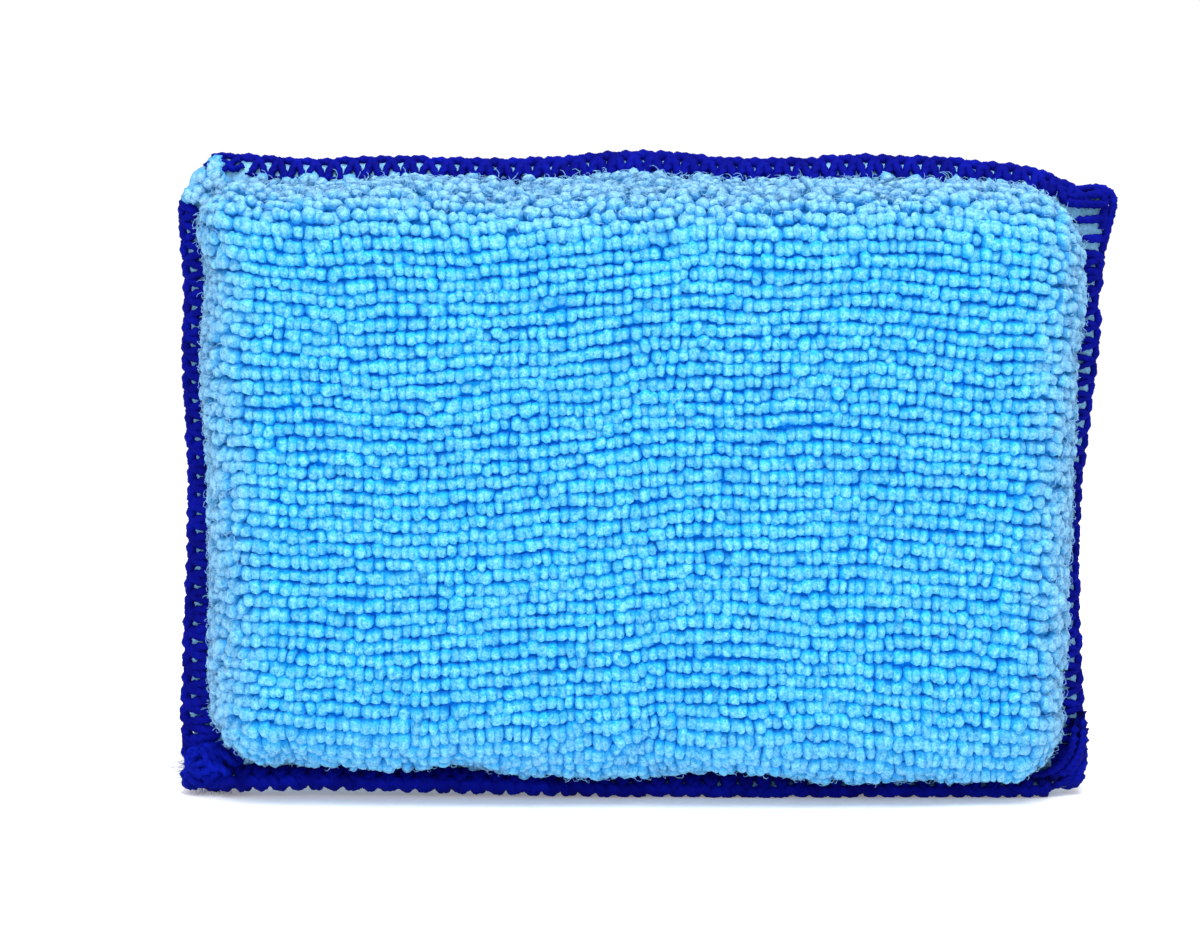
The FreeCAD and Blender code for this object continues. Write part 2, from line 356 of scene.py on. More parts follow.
def fill_out(panel, flat):
    """Presses the panel out from inside and keeps the result as its mesh."""
    start = vertex_places(panel.data)
    free = (
        (np.abs(flat[:, 0]) < sideways[0][-2] - held_border)
        & (flat[:, 1] < upward[0][-2] - held_border)
        & (-flat[:, 1] < downward[0][-2] - 3 * held_border)
    )
    held = panel.vertex_groups.new(name="held")
    held.add(np.flatnonzero(~free).tolist(), 1.0, "REPLACE")
    cloth = panel.modifiers.new("cloth", "CLOTH")
    rules = cloth.settings
    rules.quality = 6
    rules.mass = 0.05
    rules.tension_stiffness = rules.compression_stiffness = 12
    rules.shear_stiffness = 6
    rules.bending_stiffness = 0.6
    rules.vertex_group_mass = "held"
    rules.shrink_min = -0.045
    rules.use_pressure = True
    rules.uniform_pressure_force = 5
    rules.effector_weights.gravity = 0
    cloth.collision_settings.use_collision = False
    for step in range(1, settle_frames + 1):
        scene.frame_set(step)
    settled = panel.evaluated_get(bpy.context.evaluated_depsgraph_get()).to_mesh()
    move = vertex_places(settled) - start
    panel.modifiers.remove(cloth)
    panel.vertex_groups.remove(held)
    length = np.maximum(np.linalg.norm(move, axis=1), 1e-9)
    move *= (most_move * np.tanh(length / most_move) / length)[:, None]
    put_vertices(panel.data, start + move)
    print(panel.name, "moved in mm: mean", round(length.mean() / MM, 2), "most", round(length.max() / MM, 2))


scene.frame_set(1)
for side_name, panel in panels.items():
    fill_out(panel, flats[side_name])
scene.frame_set(1)

# %% [markdown]
# ## A way to lay things on the cloth
#
# The pile, the lint and the crushed cloth of the seam all sit on the panels. A point is given in
# the flat panel's own width and height, and how high it stands above the backing. Its place is
# found between the four nearest points of the wrapped grid, and it is lifted along the cloth's
# normal there. Anything built flat can be laid on the pad this way.

# %% Read a panel as a surface
def read_panel(side_name):
    """The panel's places and normals as grids, with the flat places of its rows and columns."""
    mesh, flat = panels[side_name].data, flats[side_name]
    normal = np.zeros(len(mesh.vertices) * 3, np.float32)
    mesh.vertices.foreach_get("normal", normal)
    order = np.lexsort((np.round(flat[:, 0], 6), np.round(flat[:, 1], 6)))
    wide = columns + 1
    place = vertex_places(mesh)[order].reshape(-1, wide, 3)
    normal = normal.reshape(-1, 3)[order].reshape(-1, wide, 3).astype(float)
    return place, normal, flat[order[:wide], 0], flat[order[::wide], 1]


surfaces = {side_name: read_panel(side_name) for side_name in panels}


def on_cloth(side_name, flat_x, flat_z, lift):
    """Places on the pad for points of the flat panel, lifted off the backing."""
    place, normal, xs, zs = surfaces[side_name]
    u = np.clip((flat_x - xs[0]) / (xs[1] - xs[0]), 0, len(xs) - 1.001)
    v = np.clip((flat_z - zs[0]) / (zs[1] - zs[0]), 0, len(zs) - 1.001)
    i, j = u.astype(int), v.astype(int)
    a, b = (u - i)[:, None], (v - j)[:, None]

    def between(grid):
        low = grid[j, i] * (1 - a) + grid[j, i + 1] * a
        high = grid[j + 1, i] * (1 - a) + grid[j + 1, i + 1] * a
        return low * (1 - b) + high * b

    up = between(normal)
    up /= np.linalg.norm(up, axis=1)[:, None]
    return between(place) + up * np.asarray(lift)[:, None]


print("surface grid", surfaces["front"][0].shape)

# %% [markdown]
# ## The pile
#
# Warp-knit terry is rows of little yarn loops that stand on the backing. Seen from above, each
# loop is a soft bead, a little taller than wide, that touches its neighbours in the row and hangs
# over the row below. One bead is shaped from a coarse sphere, because there are thousands of them.
# Two Array modifiers knit it into rows, flat. The rows are then bent into the slow waves of a
# stretched knit, every bead gets its own size, turn and lean, and the whole pile is laid on the
# cloth.

# %% One bead of pile
loop_pitch = 1.28 * MM
row_pitch = 1.78 * MM
bead_half_width = 0.88 * MM
bead_half_height = 0.93 * MM
pile_seed = 7


def bead_mesh():
    """A loop: a squarish bead, wider at its foot, where it fills the ground between its neighbours."""
    bm = bmesh.new()
    bmesh.ops.create_uvsphere(bm, u_segments=8, v_segments=5, radius=1)
    for v in bm.verts:
        x, y, z = v.co
        x, y = (math.copysign(abs(c) ** 0.8, c) for c in (x, y))
        foot = 1 + 0.35 * max(0, -z)
        v.co = (x * foot * bead_half_width, y * foot * bead_half_height, (z + 1) / 2 * pile_height)
    bmesh.ops.recalc_face_normals(bm, faces=bm.faces)
    mesh = bpy.data.meshes.new("bead")
    bm.to_mesh(mesh)
    bm.free()
    mesh.shade_smooth()
    return mesh


bead = bead_mesh()
print("one bead has", len(bead.polygons), "faces")


# %% [markdown]
# ## Waves, noise, rubbing and painted sheen
#
# The rows of a knit wander with the stretch of the cloth, and the loops beside the seam have been rubbed by
# handling. Both are worked out for any place on the flat panel: how far the rows stray up it, and how rubbed
# it is, from nothing on the face to full beside the seam. The same measure paints the terry pale there as a
# sheen, and less so on the lower side, which faces away from the light. Smooth noise adds what is uneven,
# with a seed of its own for each use, so the pad comes out the same every time.

# %% Work out how the knit is uneven
wear_and_sheen_reach = 9 * MM


def row_wave(flat_x):
    """How far the rows stray up the panel: low left of the middle, high right of it."""
    turn = (flat_x + 66 * MM) / (116 * MM) * 2 * math.pi
    return -1.5 * MM * np.sin(turn) * (1.1 - 0.35 * np.clip(flat_x / (60 * MM), -1, 1))


def drift(x, z, size, seed):
    """Smooth noise over the flat panel, from about -1 to 1, one value for each point."""
    return np.array([noise.noise((a / size, b / size, seed)) for a, b in zip(x, z)]) * 1.6


def wear_and_sheen(flat_x, flat_z):
    """From 0 on the face to 1 beside the seam, where handling has opened the loops and where the terry is
    painted pale as a sheen; it rises more slowly on the lower side, which faces away from the light.
    """
    flat_side, flat_top, flat_foot = sideways[0][1], upward[0][1], downward[0][1]
    aside = (np.abs(flat_x) - flat_side) / wear_and_sheen_reach
    above = (flat_z - flat_top) / wear_and_sheen_reach
    # less painted sheen on the lower side, which faces away from the light
    below = 0.45 * (-flat_z - flat_foot) / wear_and_sheen_reach
    return np.clip(np.maximum(np.maximum(aside, above), below) + 0.12, 0, 1)


across = np.linspace(-half_length, half_length, 99)
print("the rows wave by up to", round(np.abs(row_wave(across)).max() / MM, 2), "mm")

# %% [markdown]
# ## Knitting one band of pile
#
# The bead is repeated by two Array modifiers, one along the row and one up the cloth, and the
# result is kept as one mesh. Its points stay in the order of the beads, so what one loop does can
# be worked out for all loops at once: where it stands, how big and how turned it is, how far its
# top leans down over the row below, and how ragged its outline is where it is rubbed.

# %% Repeat the bead and shape every loop
noise_seeds = {"front": 3.0, "back": 31.0}


def repeat_bead(name, per_row, rows_high):
    """A flat sheet of beads, row above row, as one piece."""
    obj = bpy.data.objects.new(name, bead.copy())
    scene.collection.objects.link(obj)
    for axis, number, step in ((0, per_row, loop_pitch), (1, rows_high, row_pitch)):
        array = obj.modifiers.new("knit", "ARRAY")
        array.use_relative_offset = False
        array.use_constant_offset = True
        array.count = number
        array.constant_offset_displace = [step if k == axis else 0 for k in range(3)]
    knitted = bpy.data.meshes.new_from_object(obj.evaluated_get(bpy.context.evaluated_depsgraph_get()))
    obj.modifiers.clear()
    obj.data = knitted
    return obj


def place_loops(seed, first_row, per_row, rows_high, random):
    """Where every loop of a band stands on the flat panel, and its share of wear and of painted sheen."""
    column = np.tile(np.arange(per_row), rows_high)
    row = np.repeat(np.arange(first_row, first_row + rows_high), per_row)
    x = (column - (per_row - 1) / 2) * loop_pitch
    z = row * row_pitch
    wander = 0.55 * MM * drift(x, z, 13 * MM, seed)
    z = z + row_wave(x) + wander + 0.22 * MM * drift(x, z, 4.5 * MM, seed + 5)
    x = x + 0.5 * MM * drift(x, z, 11 * MM, seed + 9) + random.normal(0, 0.08 * MM, len(x))
    z = z + random.normal(0, 0.12 * MM, len(z))
    rubbed_and_sheen = wear_and_sheen(x, z)
    x = x + random.normal(0, 0.32 * MM, len(x)) * rubbed_and_sheen
    z = z + random.normal(0, 0.42 * MM, len(z)) * rubbed_and_sheen
    return x, z, rubbed_and_sheen


def shape_loops(x, z, rubbed_and_sheen, seed, random):
    """Every point of every loop, from where its loop stands: across, up and off the cloth."""
    beads = len(x)
    shape = np.tile(vertex_places(bead), (beads, 1)).reshape(beads, -1, 3)
    wide = random.normal(1.0, 0.12, beads).clip(0.75, 1.35)[:, None]
    tall = random.normal(1.0, 0.10, beads).clip(0.75, 1.3)[:, None]
    high = random.normal(1.0, 0.12, beads).clip(0.7, 1.3)[:, None]
    turn = (random.normal(0, 0.22, beads) + 0.25 * drift(x, z, 9 * MM, seed + 13))[:, None]
    lean = (0.42 + 0.25 * drift(x, z, 7 * MM, seed + 17))[:, None] * MM
    sway = random.normal(0, 0.22 * MM, beads)[:, None]
    sx, sy, sh = (shape[:, :, k] for k in range(3))
    share = sh / pile_height
    ragged = 0.10 + 0.16 * rubbed_and_sheen[:, None]
    bx, by = (part * (1 + ragged * random.normal(0, 1, part.shape)) for part in (sx * wide, sy * tall))
    px = bx * np.cos(turn) - by * np.sin(turn) + sway * share
    pz = bx * np.sin(turn) + by * np.cos(turn) - lean * share**1.5
    return px, pz, sh * high, share


# %% [markdown]
# ## Laying the pile on the pad
#
# Pile stops a little before the needle line, where the seam presses it flat, and further before it
# on the folded lower side. At the upper left corner it doesn't: there it swells over the cut edge
# in a round tuft, and its outermost loops stand straight off the mid-plane. Loops past the pile's
# edge are deleted. Each panel has three bands, so that none is too heavy a piece.

# %% Lay the bands of pile
pile_margin, foot_margin = 0.5 * MM, 2.6 * MM
tuft_wide, tuft_high, tuft_round, tuft_inset, tuft_rim = 9 * MM, 6 * MM, 7.5 * MM, 4 * MM, 1.5 * MM


def write_value(mesh, label, value):
    """Keeps one number for each vertex, for a finish to read."""
    mesh.attributes.new(label, "FLOAT", "POINT").data.foreach_set("value", value.astype(np.float32))


def delete_loops(mesh, gone, per_bead):
    """Deletes all points of the loops that are gone."""
    bm = bmesh.new()
    bm.from_mesh(mesh)
    bm.verts.ensure_lookup_table()
    lost = np.flatnonzero(np.repeat(gone, per_bead))
    bmesh.ops.delete(bm, geom=[bm.verts[k] for k in lost], context="VERTS")
    bm.to_mesh(mesh)
    bm.free()


def knit(name, side_name, first_row, last_row, random):
    """One band of the pile, as one piece."""
    per_row, rows_high = int(2 * sideways[0][-1] / loop_pitch), last_row - first_row
    seed = noise_seeds[side_name]
    obj = repeat_bead(name, per_row, rows_high)
    x, z, rubbed_and_sheen = place_loops(seed, first_row, per_row, rows_high, random)
    px, pz, ph, share = shape_loops(x, z, rubbed_and_sheen, seed, random)
    flat_x, flat_z = (x[:, None] + px).ravel(), (z[:, None] + pz).ravel()
    places = on_cloth(side_name, flat_x, flat_z, ph.ravel()).reshape(*px.shape, 3)

    edge_x, edge_z = sideways[0][-2] - pile_margin, upward[0][-2] - pile_margin
    near = np.hypot(x + edge_x - tuft_inset, z - edge_z + tuft_inset) < tuft_round
    tuft = (x < tuft_wide - edge_x) & (z > edge_z - tuft_high) & near
    upright = tuft & ((x < -edge_x + tuft_rim) | (z > edge_z - tuft_rim))
    middle = on_cloth(side_name, x[upright], z[upright], np.zeros(int(upright.sum())))
    toward = -1 if side_name == "front" else 1
    places[upright] = middle[:, None] + np.stack([px, toward * ph, pz], 2)[upright]
    put_vertices(obj.data, places.reshape(-1, 3))

    per_bead = len(bead.vertices)
    # a loop's height paints shade at its foot and a highlight at its tip, and the measure beside the seam
    # paints a pale sheen there
    write_value(obj.data, "tip", share.ravel() ** 3)
    write_value(obj.data, "shade", np.repeat(random.uniform(0, 1, len(x)), per_bead))
    write_value(obj.data, "wear_and_sheen", wear_and_sheen(flat_x, flat_z))
    gone = ((np.abs(x) > edge_x) | (z > edge_z)) & ~tuft | (-z > downward[0][-2] - foot_margin)
    delete_loops(obj.data, gone, per_bead)
    obj.data.shade_smooth()
    print(name, "has", len(x) - int(gone.sum()), "loops,", len(obj.data.polygons), "faces")
    return obj


lowest_row = -math.ceil(downward[0][-2] / row_pitch) - 1
highest_row = math.ceil(upward[0][-2] / row_pitch) + 2
cuts = np.linspace(lowest_row, highest_row, 4).round().astype(int)
piles = {"front": [], "back": []}
random = np.random.default_rng(pile_seed)
for side_name in piles:
    for band, low, high in zip(("lower", "middle", "upper"), cuts, cuts[1:]):
        piles[side_name].append(knit(f"{side_name}_pile_{band}", side_name, low, high, random))

# %% [markdown]
# ## The cloth under the pile
#
# The backing shows between the loops, and bare where the seam presses it flat. It gets the same two measures
# as the loops, so that its finish can follow: how rubbed it is, which also paints the pale sheen of the rim,
# and how much of it lies in the open, as the tips of the loops do. Cloth deep under the pile is painted in
# shade, and bare cloth beside the seam is painted pale, lifting the shade that the yarn casts on it.

# %% Write the cloth's own measures
press_reach = 1.5 * MM
for side_name, panel in panels.items():
    flat_x, flat_z = flats[side_name].T[:2]
    rubbed_and_sheen = wear_and_sheen(flat_x, flat_z)
    past = [np.abs(flat_x) - sideways[0][-4], flat_z - upward[0][-4], -flat_z - downward[0][-4]]
    pressed = np.max([np.clip(far / press_reach, 0, 1) for far in past], axis=0)
    # painted light: the rim's pale sheen, and bare cloth beside the seam painted pale against the yarn's
    # shade
    write_value(panel.data, "wear_and_sheen", rubbed_and_sheen * 0.6)
    write_value(panel.data, "tip", np.maximum(pressed, 0.4 * rubbed_and_sheen))
    print(panel.name, "is pressed flat over", round(float(pressed.mean()), 3), "of its points")

# %% [markdown]
# ## Lint
#
# Where the pile is rubbed, beside the seam, single fibres have come free of their loops and curl over the
# others. They make the rim of the pad look soft, and they are coloured with the full pale painted sheen of
# the rim. Each is a thin curved hair of three pieces, laid on the cloth like everything else.

# %% Lay the loose fibres
def piece_from_curve(name, curve):
    """Turns a curve with its section into a mesh piece, and throws the curve away."""
    guide = bpy.data.objects.new(name, curve)
    scene.collection.objects.link(guide)
    mesh = bpy.data.meshes.new_from_object(guide.evaluated_get(bpy.context.evaluated_depsgraph_get()))
    bpy.data.objects.remove(guide)
    bpy.data.curves.remove(curve)
    mesh.name = name
    obj = bpy.data.objects.new(name, mesh)
    scene.collection.objects.link(obj)
    return obj


def lint(name, side_name, count, random):
    """Short fibres over the rubbed rim of one panel, as one piece."""
    wide, high = sideways[0][-2] - 0.6 * MM, upward[0][-2] - 0.6 * MM
    low = downward[0][-2] - 3 * MM
    tries = 12 * count
    start = np.stack([random.uniform(-wide, wide, tries), random.uniform(-low, high, tries)], 1)
    start = start[random.uniform(0.35, 1.6, len(start)) < wear_and_sheen(start[:, 0], start[:, 1])][:count]
    turn = random.uniform(0, 2 * math.pi, len(start))
    reach = random.uniform(0.7, 1.7, len(start)) * MM
    base = random.uniform(0.9, 1.5, len(start)) * MM
    rise = random.uniform(0.1, 0.9, len(start)) * MM
    curve = bpy.data.curves.new(name, "CURVE")
    curve.dimensions = "3D"
    curve.bevel_depth = 0.055 * MM
    curve.bevel_resolution = 0
    points = []
    for t in (0.0, 0.4, 0.75, 1.0):
        bend = turn + 1.1 * t
        x, z = start[:, 0] + reach * t * np.cos(bend), start[:, 1] + reach * t * np.sin(bend)
        points.append(on_cloth(side_name, x, z, base + rise * math.sin(t * 2.4)))
    for fibre in np.stack(points, 1):
        spline = curve.splines.new("POLY")
        spline.points.add(3)
        spline.points.foreach_set("co", np.column_stack([fibre, np.ones(4)]).ravel())
        spline.points.foreach_set("radius", [1.0, 0.9, 0.7, 0.35])
    obj = piece_from_curve(name, curve)
    # the loose fibres take the full painted sheen and nearly the painted highlight of a loop's tip
    for label, value in (("tip", 0.85), ("wear_and_sheen", 1.0), ("shade", 0.8)):
        write_value(obj.data, label, np.full(len(obj.data.vertices), value))
    print(name, "has", len(start), "fibres,", len(obj.data.polygons), "faces")
    return obj


random = np.random.default_rng(41)
for side_name, count in (("front", 8000), ("back", 6000)):
    piles[side_name].append(lint(f"{side_name}_lint", side_name, count, random))

# %% [markdown]
# ## The yarn of the overlock seam
#
# The seam is sewn with three threads. Two are thick textured yarns, laid over the cloth by the
# loopers. One is a thin thread that the needle carries. A yarn is made the way it is spun: its
# cross-section is three plies side by side, and the section turns as it runs along, so the plies
# twist round each other. Each run of yarn is one smooth curve, and its thickness comes and goes a
# little, because a loose yarn opens up between stitches.

# %% Spin a yarn along some points
yarn_radius = 0.66 * MM
needle_radius = 0.20 * MM
ply_twist = 2 * math.pi / (3.4 * MM)


def section(name, radius, plies, depth_of_ply):
    """The cross-section of a yarn, as a closed curve for others to follow."""
    curve = bpy.data.curves.new(name, "CURVE")
    curve.dimensions = "2D"
    spline = curve.splines.new("POLY")
    count = 4 * plies
    spline.points.add(count - 1)
    for k, point in enumerate(spline.points):
        turn = 2 * math.pi * k / count
        reach = radius * (1 - depth_of_ply * (0.5 - 0.5 * math.cos(plies * turn)))
        point.co = (reach * math.cos(turn), reach * math.sin(turn), 0, 1)
    spline.use_cyclic_u = True
    obj = bpy.data.objects.new(name, curve)
    scene.collection.objects.link(obj)
    return obj


yarn_section = section("yarn_section", yarn_radius, 3, 0.22)
needle_section = section("needle_section", needle_radius, 2, 0.15)


def spin_yarn(name, runs, profile, resolution=3):
    """One piece of yarn from a few runs, each a pair: its places, and its thickness at each."""
    curve = bpy.data.curves.new(name, "CURVE")
    curve.dimensions = "3D"
    curve.resolution_u = resolution
    curve.bevel_mode = "OBJECT"
    curve.bevel_object = profile
    curve.use_fill_caps = True
    for places, thick in runs:
        spline = curve.splines.new("NURBS")
        spline.points.add(len(places) - 1)
        spline.points.foreach_set("co", np.column_stack([places, np.ones(len(places))]).ravel())
        along = np.concatenate([[0], np.cumsum(np.linalg.norm(np.diff(places, axis=0), axis=1))])
        spline.points.foreach_set("radius", np.broadcast_to(thick, len(places)).astype(float))
        spline.points.foreach_set("tilt", along * ply_twist)
        spline.order_u = 4
        spline.use_endpoint_u = True
    obj = piece_from_curve(name, curve)
    obj.data.shade_smooth()
    print(name, "has", sum(len(p.vertices) - 2 for p in obj.data.polygons), "triangles")
    return obj


# %% [markdown]
# ## Where a seam's threads lie
#
# Along every side a place is given by how far it is along the seam, how far out from the needle
# line, and how far toward the front panel's side. The lower side's flange is folded forward, so
# there outward is toward the viewer and the front panel's side is up. The straight places are
# warped by the same four curves as the cloth, so the threads stay on it.

# %% Places beside a seam
seam_pitch = 2.6 * MM


def beside(side_name, along, out, ahead):
    """Places on the pad for points given along, outward from and in front of a seam's needle line."""
    if side_name == "top":
        straight = np.stack([along, -ahead, needle_z + out], 1)
    elif side_name == "bottom":
        straight = np.stack([along, fold_y - out, fold_z + ahead], 1)
    else:
        way = 1 if side_name == "right" else -1
        straight = np.stack([way * (needle_x + out), -ahead, along], 1)
    return stray(straight)


seam_runs = {
    "top": (-55.6 * MM, 61.5 * MM),
    "right": (4.5 * MM, 79.0 * MM),
    "bottom": (-60.2 * MM, 60.5 * MM),
    "left": (4.2 * MM, 84.6 * MM),
}
# how full the yarn is along each side, from thin where the gaps stand open to fat where they close
fullness = {
    "top": [(-62, 0.88), (-48, 0.95), (-28, 1.02), (-18, 1.2), (8, 1.3), (24, 1.16), (60, 1.2)],
    "right": [(5, 1.05), (20, 0.92), (45, 0.86), (70, 0.92), (76, 1.1), (86, 1.15)],
    "bottom": [(-60, 1.35), (5, 1.3), (20, 1.18), (60, 1.12)],
    "left": [(5, 1.3), (20, 1.22), (40, 1.25), (60, 1.15), (86, 1.0)],
}


def fullness_at(side_name, along):
    """How full the yarn is at some places along a side, as a share of its usual thickness."""
    return smooth_curve(fullness[side_name], along) / MM


def stitches(side_name, random):
    """The needle's places along a seam, with each stitch's own unevenness."""
    start, end = seam_runs[side_name]
    count = int((end - start) / seam_pitch)
    return start + seam_pitch * (np.arange(count + 1) + 0.5) + random.normal(0, 0.07 * MM, count + 1)


for side_name, (start, end) in seam_runs.items():
    print(side_name, "seam has", int((end - start) / seam_pitch), "stitches")


# %% [markdown]
# ## The looper yarns
#
# The upper looper lays its yarn on the front panel as a zigzag, down to the needle line at every
# stitch and up to the cut edge between two stitches. The lower looper does the same behind, half
# a stitch further on. At the cut edge its yarn comes forward over the edge in a wide arch, and
# those arches side by side are the beaded ridge that runs along the seam.

# %% Lay the looper yarns
flange_lift = layer * 0.7 + yarn_radius * 0.62
arch_fullness = 1.1


def upper_looper(side_name, at, random):
    """The zigzag on the front panel, as one run of yarn."""
    u, out, ahead = [], [], []
    for here, after in zip(at, at[1:]):
        p = after - here
        slack = random.normal(0, 0.08, 4) * MM
        w = seam_width + slack[0]
        u += [here + 0.30 * MM, here + 0.22 * p, here + 0.37 * p, here + 0.46 * p, here + 0.5 * p,
              here + 0.54 * p, here + 0.63 * p, here + 0.78 * p, after - 0.30 * MM, after]
        low = -0.10 * MM + slack[1]
        out += [low, 0.38 * w, 0.80 * w, w + 0.02 * MM, w + 0.18 * MM,
                w + 0.02 * MM, 0.80 * w, 0.38 * w, low, low - 0.28 * MM]
        lift = flange_lift + 0.06 * MM + slack[2] * 0.5
        ahead += [lift, lift + 0.06 * MM, lift, 0.5 * lift, 0.0,
                  0.5 * lift, lift, lift + 0.06 * MM, lift, lift - 0.10 * MM]
    u, out, ahead = (np.array(v) for v in (u, out, ahead))
    return beside(side_name, u, out, ahead), fullness_at(side_name, u) * (1 + 0.07 * np.sin(u / (0.9 * MM)))


def lower_looper(side_name, at, random):
    """The zigzag on the back panel, with its arches over the cut edge."""
    u, out, ahead = [], [], []
    for here, after in zip(at, at[1:]):
        p = after - here
        slack = random.normal(0, 0.08, 4) * MM
        w = seam_width + slack[0]
        u += [here - 0.50 * p, here - 0.40 * p, here - 0.40 * p, here - 0.43 * p, here - 0.27 * p, here,
              here + 0.27 * p, here + 0.43 * p, here + 0.40 * p, here + 0.40 * p]
        out += [-0.15 * MM, 0.35 * w, 0.80 * w, w + 0.05 * MM, w + 0.22 * MM, w + 0.36 * MM,
                w + 0.22 * MM, w + 0.05 * MM, 0.80 * w, 0.35 * w]
        rise = 0.30 * MM + slack[3]
        ahead += [-flange_lift, -flange_lift, -flange_lift, -0.25 * MM, rise * 0.8, rise,
                  rise * 0.8, -0.25 * MM, -flange_lift, -flange_lift]
    u, out, ahead = (np.array(v) for v in (u, out, ahead))
    return beside(side_name, u, out, ahead), fullness_at(side_name, u) * arch_fullness


def needle_run(side_name, at):
    """The needle thread: a float from hole to hole, on the front and on the back."""
    u = np.repeat(at, 3) + np.tile([-0.32, 0, 0.32], len(at)) * MM
    dip = np.tile([0, 1, 0], len(at))
    front = flange_lift + (0.62 - 0.75 * dip) * yarn_radius
    runs = []
    for way in (1, -1):
        places = beside(side_name, u, np.full(len(u), 0.02 * MM), way * front)
        runs.append((places, np.ones(len(u))))
    return runs


seam_pieces = {}
random = np.random.default_rng(11)
for side_name in seam_runs:
    at = stitches(side_name, random)
    names = [f"{side_name}_{part}" for part in ("upper_looper", "lower_looper", "needle")]
    seam_pieces[names[0]] = spin_yarn(names[0], [upper_looper(side_name, at, random)], yarn_section)
    seam_pieces[names[1]] = spin_yarn(names[1], [lower_looper(side_name, at, random)], yarn_section)
    seam_pieces[names[2]] = spin_yarn(names[2], needle_run(side_name, at), needle_section, 2)

# %% [markdown]
# ## The thread ends at the corners
#
# The machine runs off at each corner and leaves the three threads with nothing to hold them. At
# the two lower corners they are wound into a lump, big and fluffy on the left and small on the
# right. At the upper right they are gathered across the ear of cloth that sticks out there. At
# the upper left only a few thin loops start the seam. A lump is one long yarn that wanders about
# a round form, and pulls in where it crosses itself.

# %% Wind a tangle, and fibres that stand out of it
def on_floor(places, thickness):
    """Keeps a place of a thread from sinking into the floor."""
    places[..., 2] = np.maximum(places[..., 2], thickness)
    return places


def tangle(centre, size, length, random):
    """A run of yarn that wanders round and round an ellipsoid."""
    step = 0.9 * MM
    way, heading = np.array([0.3, -0.9, 0.3]), random.normal(0, 1, 3)
    turning, places = 0.0, []
    for k in range(int(length / step)):
        way = way / np.linalg.norm(way)
        turning = 0.75 * turning + random.normal(0, 0.42)
        heading = heading - way * heading.dot(way)
        heading /= np.linalg.norm(heading)
        heading = heading * math.cos(turning) + np.cross(way, heading) * math.sin(turning)
        reach = 0.80 + 0.16 * math.sin(k * 0.31) + random.normal(0, 0.03)
        places.append(on_floor(np.array(centre) + way * np.array(size) * reach, yarn_radius))
        way = way + heading * step / np.mean(size)
    return np.array(places), random.normal(1.0, 0.08, len(places)).clip(0.8, 1.2)


def loose_fibres(centre, size, count, length, random, lean=(0, 0, 0)):
    """Short fibres that stand out of a lump."""
    runs = []
    for _ in range(count):
        way = random.normal(0, 1, 3)
        way /= np.linalg.norm(way)
        start = np.array(centre) + way * np.array(size) * 0.8
        away = way + np.array(lean) + random.normal(0, 0.5, 3)
        away /= np.linalg.norm(away)
        bend = random.normal(0, 0.35, 3)
        reach = length * random.uniform(0.4, 1.1)
        steps = np.linspace(0, 1, 4)[:, None]
        places = on_floor(start + away * reach * steps + bend * reach * steps**2, 0.05 * MM)
        runs.append((places, np.linspace(1, 0.4, 4)))
    return runs


# %% [markdown]
# ## The two lower tails
#
# The lower left lump is two long runs wound about each other, two small lumps at its foot, and hundreds of
# single fibres that have worked loose. The lower right one is a small lump with three strands laid over it,
# which run down from the right seam and forward along the lower one. Both are given point by point, in
# millimetres in the pad's own frame.

# %% Wind the lower tails
fibre_section = section("fibre_section", 0.045 * MM, 1, 0)
random = np.random.default_rng(23)

centre, size = np.array([-60.7, -0.8, 3.9]) * MM, np.array([4.2, 4.2, 3.1]) * MM
lumps = [([-62.9, -1.6, 2.4], [2.5, 2.4, 1.7], 90), ([-59.8, -2.0, 1.7], [2.6, 2.0, 1.3], 70)]
runs = [tangle(centre, size, 240 * MM, random), tangle(centre, size, 200 * MM, random)]
runs += [tangle(np.array(at) * MM, np.array(reach) * MM, length * MM, random) for at, reach, length in lumps]
seam_pieces["bottom_left_tail"] = spin_yarn("bottom_left_tail", runs, yarn_section)
fuzz = loose_fibres(centre, size, 900, 2.2 * MM, random, lean=(-0.4, -0.2, 0))
seam_pieces["bottom_left_fuzz"] = spin_yarn("bottom_left_fuzz", fuzz, fibre_section, 1)

centre, size = np.array([59.0, -1.2, 3.8]) * MM, np.array([2.4, 2.6, 2.9]) * MM
runs = [tangle(centre, size, 130 * MM, random)]
corner_strands = [
    [(60.9, -1.2, 11.5), (61.1, -2.2, 8.5), (60.4, -3.2, 5.6), (58.2, -3.9, 3.2), (55.0, -4.3, 2.0)],
    [(59.7, -1.5, 10.5), (59.7, -2.8, 7.6), (58.5, -3.7, 5.0), (56.3, -4.2, 3.4), (53.6, -4.3, 2.9)],
    [(61.4, -0.6, 9.0), (61.2, -1.6, 6.0), (59.8, -2.9, 3.2), (57.4, -3.9, 1.4), (54.4, -4.4, 1.0)],
]
runs += [(np.array(points) * MM, np.full(len(points), 1.1)) for points in corner_strands]
seam_pieces["bottom_right_tail"] = spin_yarn("bottom_right_tail", runs, yarn_section)


# %% [markdown]
# ## The two upper tails
#
# At the upper right the cloth sticks out in a flat ear. Its tail is bound across the ear in a few
# strands that go round its edge to the back, with two more along the edge. At the upper left the
# seam only begins: three thin loops. These strands lie on the seam, so they are given as its
# stitches are, by how far along it they are, how far out and how far ahead.

# %% Bind the ear and start the top seam
def strand(side_name, points, thick):
    """A strand of yarn beside a seam, through points given in millimetres along, out and ahead."""
    along, out, ahead = np.array(points, float).T * MM
    return beside(side_name, along, out, ahead), np.full(len(points), thick)


